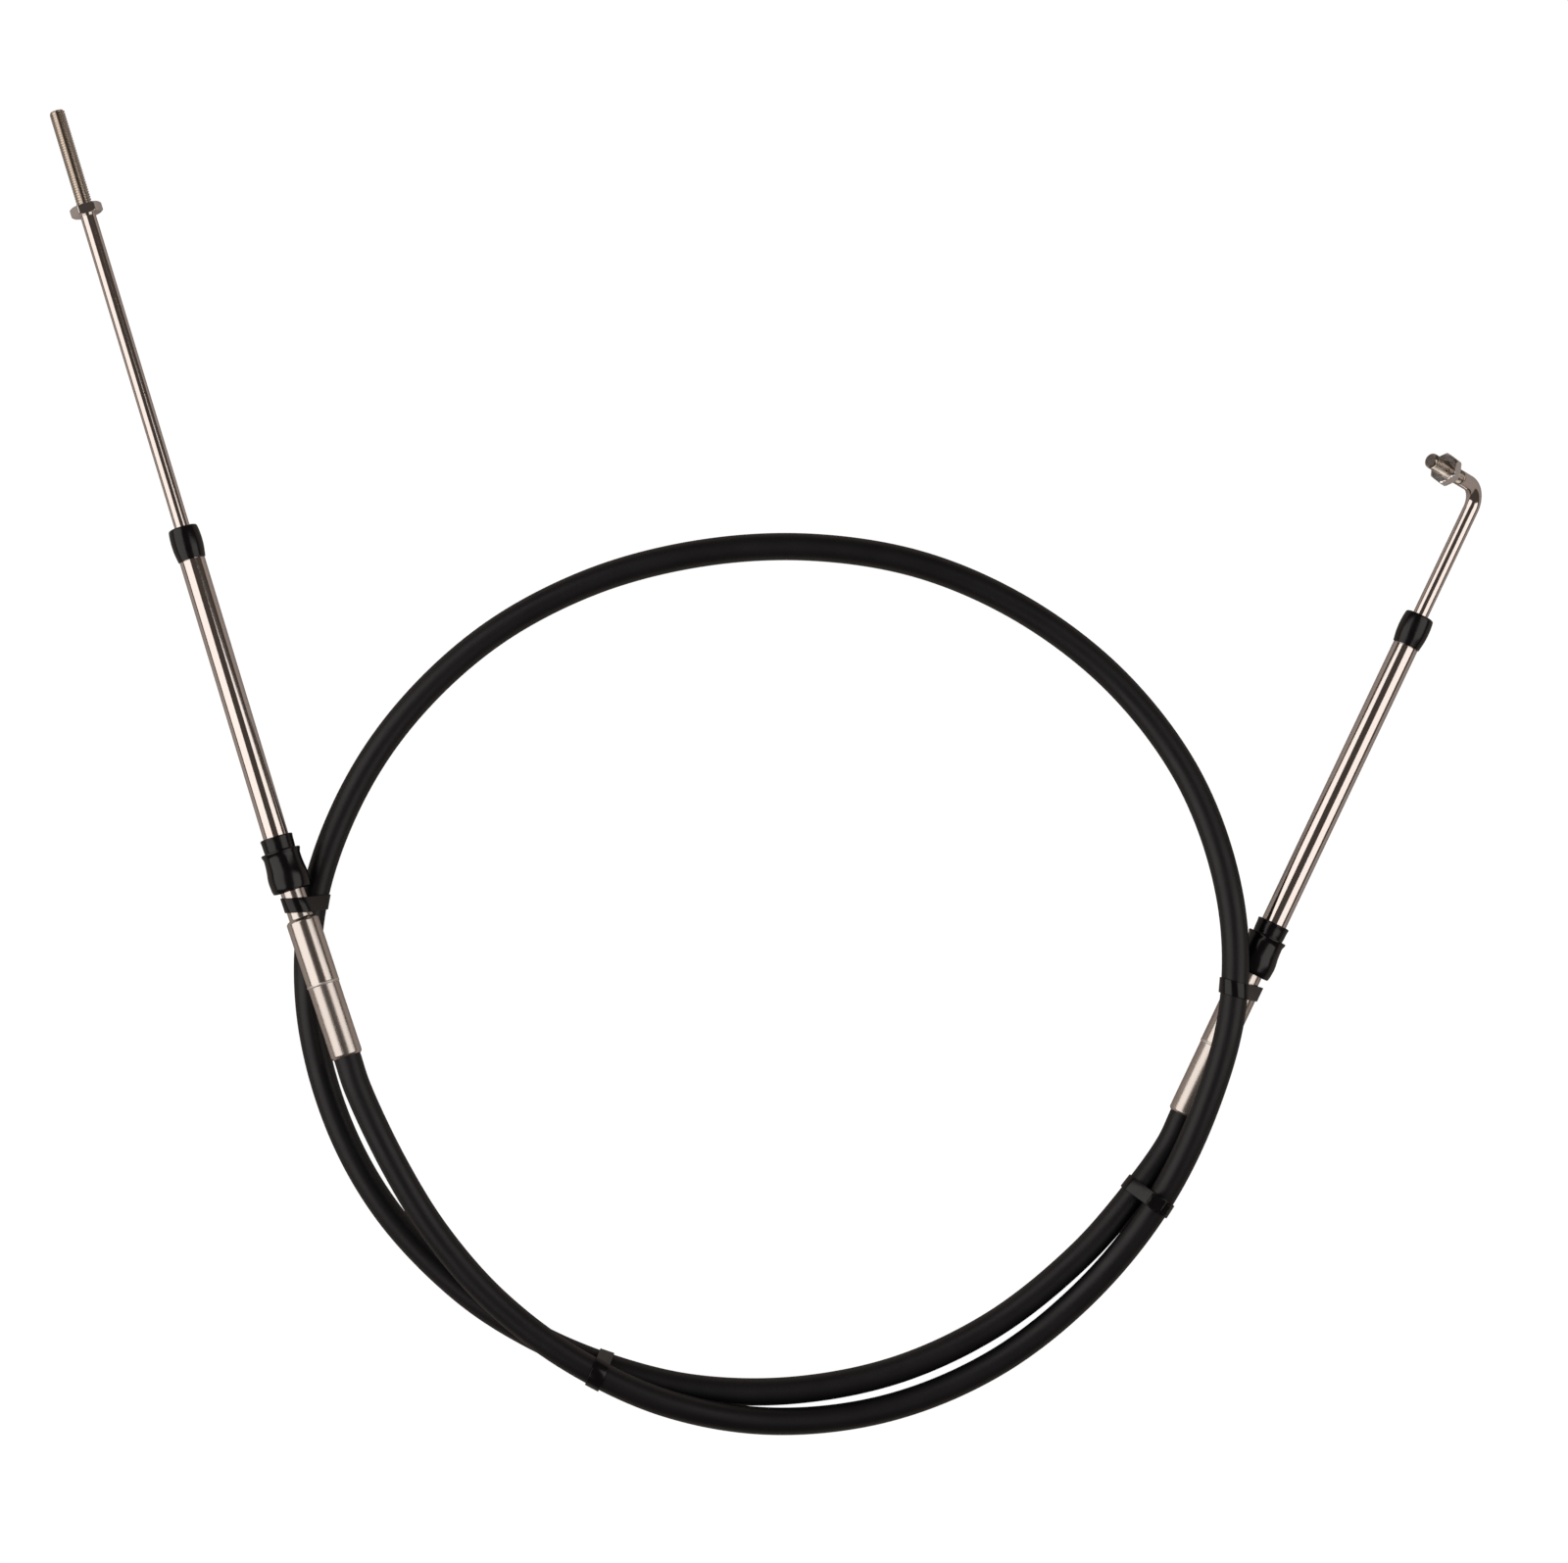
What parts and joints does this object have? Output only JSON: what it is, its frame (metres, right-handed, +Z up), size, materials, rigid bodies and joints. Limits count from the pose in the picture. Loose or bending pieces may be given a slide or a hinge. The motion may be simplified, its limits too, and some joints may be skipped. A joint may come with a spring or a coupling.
{
  "type": "reverse cable",
  "caption": "Push-pull control cable lying in a flat coil held by cable ties, with a straight threaded rod on one end and a bent threaded rod on the other.",
  "frame": {"origin": "on the floor under the middle of the box of the two end fittings, without the conduit and its ties", "axes": "+Z up off the floor, +X from the left fitting to the right one, +Y towards the tip of the straight rod"},
  "size_m": [0.4432, 0.4097, 0.0261],
  "materials": {
    "conduit": "satin extruded plastic with a soft lengthwise sheen",
    "satin_steel": "bright satin stainless steel",
    "polished_steel": "polished stainless steel",
    "bright_nut": "bright stainless steel",
    "rubber": "satin black rubber",
    "nylon": "black nylon with a low gloss"
  },
  "bodies": {
    "cable": {"conduit": "conduit", "left_hub": "satin_steel", "right_hub": "satin_steel", "left_tie": "nylon", "upper_right_tie": "nylon", "bottom_tie": "nylon", "lower_right_tie": "nylon"},
    "left_tube": {"left_support_tube": "polished_steel", "left_boot": "rubber", "left_wiper_seal": "rubber"},
    "left_push_rod": {"left_rod": "polished_steel", "left_nut": "bright_nut"},
    "right_tube": {"right_support_tube": "polished_steel", "right_boot": "rubber", "right_wiper_seal": "rubber"},
    "right_push_rod": {"right_rod": "polished_steel", "right_nut": "bright_nut"}
  },
  "joints": [
    {"name": "left_swivel", "type": "hinge", "parent": "cable", "child": "left_tube", "pos_m": [-0.14678, -0.08136, 0.01484], "axis": [0, 0, 1], "range_deg": [-8, 8]},
    {"name": "left_slide", "type": "slide", "parent": "left_tube", "child": "left_push_rod", "axis": [-0.2937, 0.9547, -0.048], "range_m": [-0.051, 0.025]},
    {"name": "right_swivel", "type": "hinge", "parent": "cable", "child": "right_tube", "pos_m": [0.1535, -0.1024, 0.0065], "axis": [0, 0, 1], "range_deg": [-8, 8]},
    {"name": "right_slide", "type": "slide", "parent": "right_tube", "child": "right_push_rod", "axis": [0.4305, 0.9025, -0.014], "range_m": [-0.025, 0.051]}
  ],
  "couplings": [
    {"joint": "right_slide", "follows": "left_slide", "ratio": -1}
  ]
}
